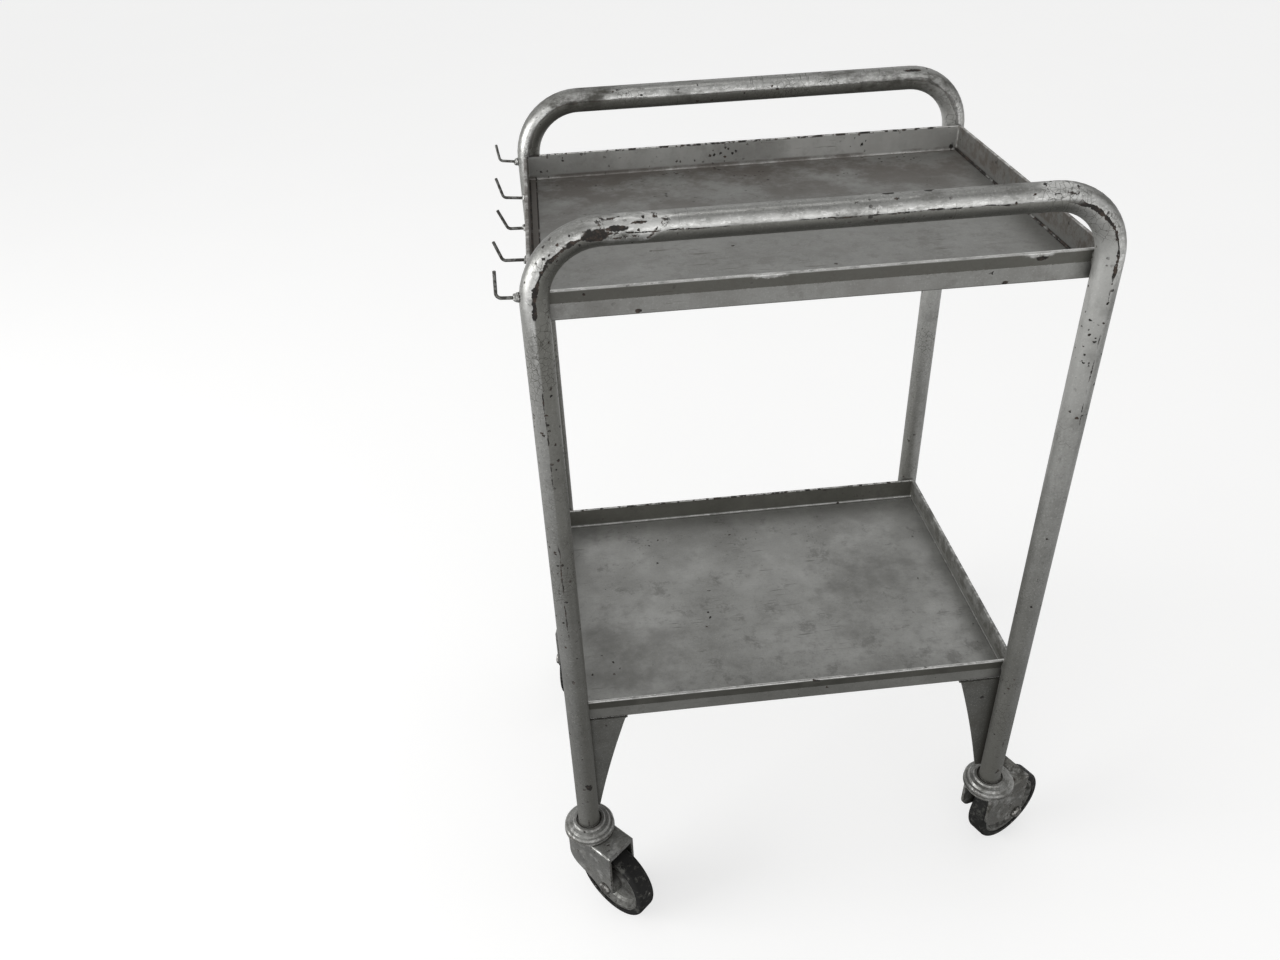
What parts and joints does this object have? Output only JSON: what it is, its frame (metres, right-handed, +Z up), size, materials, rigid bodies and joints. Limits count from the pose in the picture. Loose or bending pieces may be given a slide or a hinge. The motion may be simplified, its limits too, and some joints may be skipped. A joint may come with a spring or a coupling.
{
  "type": "service trolley",
  "caption": "Two-tier rolling steel trolley: bent tube hoops as legs and rails, shallow hemmed trays, wire hooks on one end and swivel castors.",
  "frame": {"origin": "floor level, centre of the whole footprint at rest, castor wheels and hooks included", "axes": "+X along the trolley's length, away from the hooks; -Y towards the front hoop; +Z up"},
  "size_m": [0.6205, 0.5528, 0.8817],
  "materials": {
    "painted_tube": "worn aluminium paint, semi-gloss, chipped",
    "painted_sheet": "worn aluminium paint, satin, stained",
    "hook_wire": "worn aluminium paint on wire",
    "castor_metal": "aluminium paint over pressed steel, chipped on the ridges",
    "bare_steel": "dull steel with grease",
    "wheel_centre": "grey cast centre, dirty",
    "rubber": "worn black rubber"
  },
  "bodies": {
    "frame": {"front_hoop": "painted_tube", "rear_hoop": "painted_tube", "upper_tray": "painted_sheet", "lower_tray": "painted_sheet", "upper_tray_welds": "painted_sheet", "lower_tray_welds": "painted_sheet", "gusset_welds": "painted_sheet", "hook_welds": "painted_sheet", "hook_1": "hook_wire", "hook_2": "hook_wire", "hook_3": "hook_wire", "hook_4": "hook_wire", "hook_5": "hook_wire", "gusset_front_left": "painted_sheet", "leg_plug_front_left": "bare_steel", "swivel_cup_front_left": "castor_metal", "kingpin_front_left": "bare_steel", "swivel_balls_front_left": "bare_steel", "gusset_front_right": "painted_sheet", "leg_plug_front_right": "bare_steel", "swivel_cup_front_right": "castor_metal", "kingpin_front_right": "bare_steel", "swivel_balls_front_right": "bare_steel", "gusset_rear_left": "painted_sheet", "leg_plug_rear_left": "bare_steel", "swivel_cup_rear_left": "castor_metal", "kingpin_rear_left": "bare_steel", "swivel_balls_rear_left": "bare_steel", "gusset_rear_right": "painted_sheet", "leg_plug_rear_right": "bare_steel", "swivel_cup_rear_right": "castor_metal", "kingpin_rear_right": "bare_steel", "swivel_balls_rear_right": "bare_steel"},
    "swivel_front_left": {"fork_front_left": "castor_metal", "axle_front_left": "bare_steel", "axle_nut_front_left": "bare_steel"},
    "wheel_front_left": {"wheel_front_left": "wheel_centre", "wheel_bush_front_left": "bare_steel", "tyre_front_left": "rubber"},
    "swivel_front_right": {"fork_front_right": "castor_metal", "axle_front_right": "bare_steel", "axle_nut_front_right": "bare_steel"},
    "wheel_front_right": {"wheel_front_right": "wheel_centre", "wheel_bush_front_right": "bare_steel", "tyre_front_right": "rubber"},
    "swivel_rear_left": {"fork_rear_left": "castor_metal", "axle_rear_left": "bare_steel", "axle_nut_rear_left": "bare_steel"},
    "wheel_rear_left": {"wheel_rear_left": "wheel_centre", "wheel_bush_rear_left": "bare_steel", "tyre_rear_left": "rubber"},
    "swivel_rear_right": {"fork_rear_right": "castor_metal", "axle_rear_right": "bare_steel", "axle_nut_rear_right": "bare_steel"},
    "wheel_rear_right": {"wheel_rear_right": "wheel_centre", "wheel_bush_rear_right": "bare_steel", "tyre_rear_right": "rubber"}
  },
  "joints": [
    {"name": "swivel_front_left", "type": "hinge", "parent": "frame", "child": "swivel_front_left", "pos_m": [-0.27316, -0.2031, 0.114], "axis": [0, 0, 1], "continuous": true},
    {"name": "roll_front_left", "type": "hinge", "parent": "swivel_front_left", "child": "wheel_front_left", "pos_m": [-0.24554, -0.23272, 0.0508], "axis": [0.7314, 0.682, 0], "continuous": true},
    {"name": "swivel_front_right", "type": "hinge", "parent": "frame", "child": "swivel_front_right", "pos_m": [0.22484, -0.2031, 0.114], "axis": [0, 0, 1], "continuous": true},
    {"name": "roll_front_right", "type": "hinge", "parent": "swivel_front_right", "child": "wheel_front_right", "pos_m": [0.26093, -0.18471, 0.0508], "axis": [-0.454, 0.891, 0], "continuous": true},
    {"name": "swivel_rear_left", "type": "hinge", "parent": "frame", "child": "swivel_rear_left", "pos_m": [-0.27316, 0.1899, 0.114], "axis": [0, 0, 1], "continuous": true},
    {"name": "roll_rear_left", "type": "hinge", "parent": "swivel_rear_left", "child": "wheel_rear_left", "pos_m": [-0.28158, 0.15029, 0.0508], "axis": [0.9781, -0.2079, 0], "continuous": true},
    {"name": "swivel_rear_right", "type": "hinge", "parent": "frame", "child": "swivel_rear_right", "pos_m": [0.22484, 0.1899, 0.114], "axis": [0, 0, 1], "continuous": true},
    {"name": "roll_rear_right", "type": "hinge", "parent": "swivel_rear_right", "child": "wheel_rear_right", "pos_m": [0.24196, 0.22661, 0.0508], "axis": [-0.9063, 0.4226, 0], "continuous": true}
  ]
}
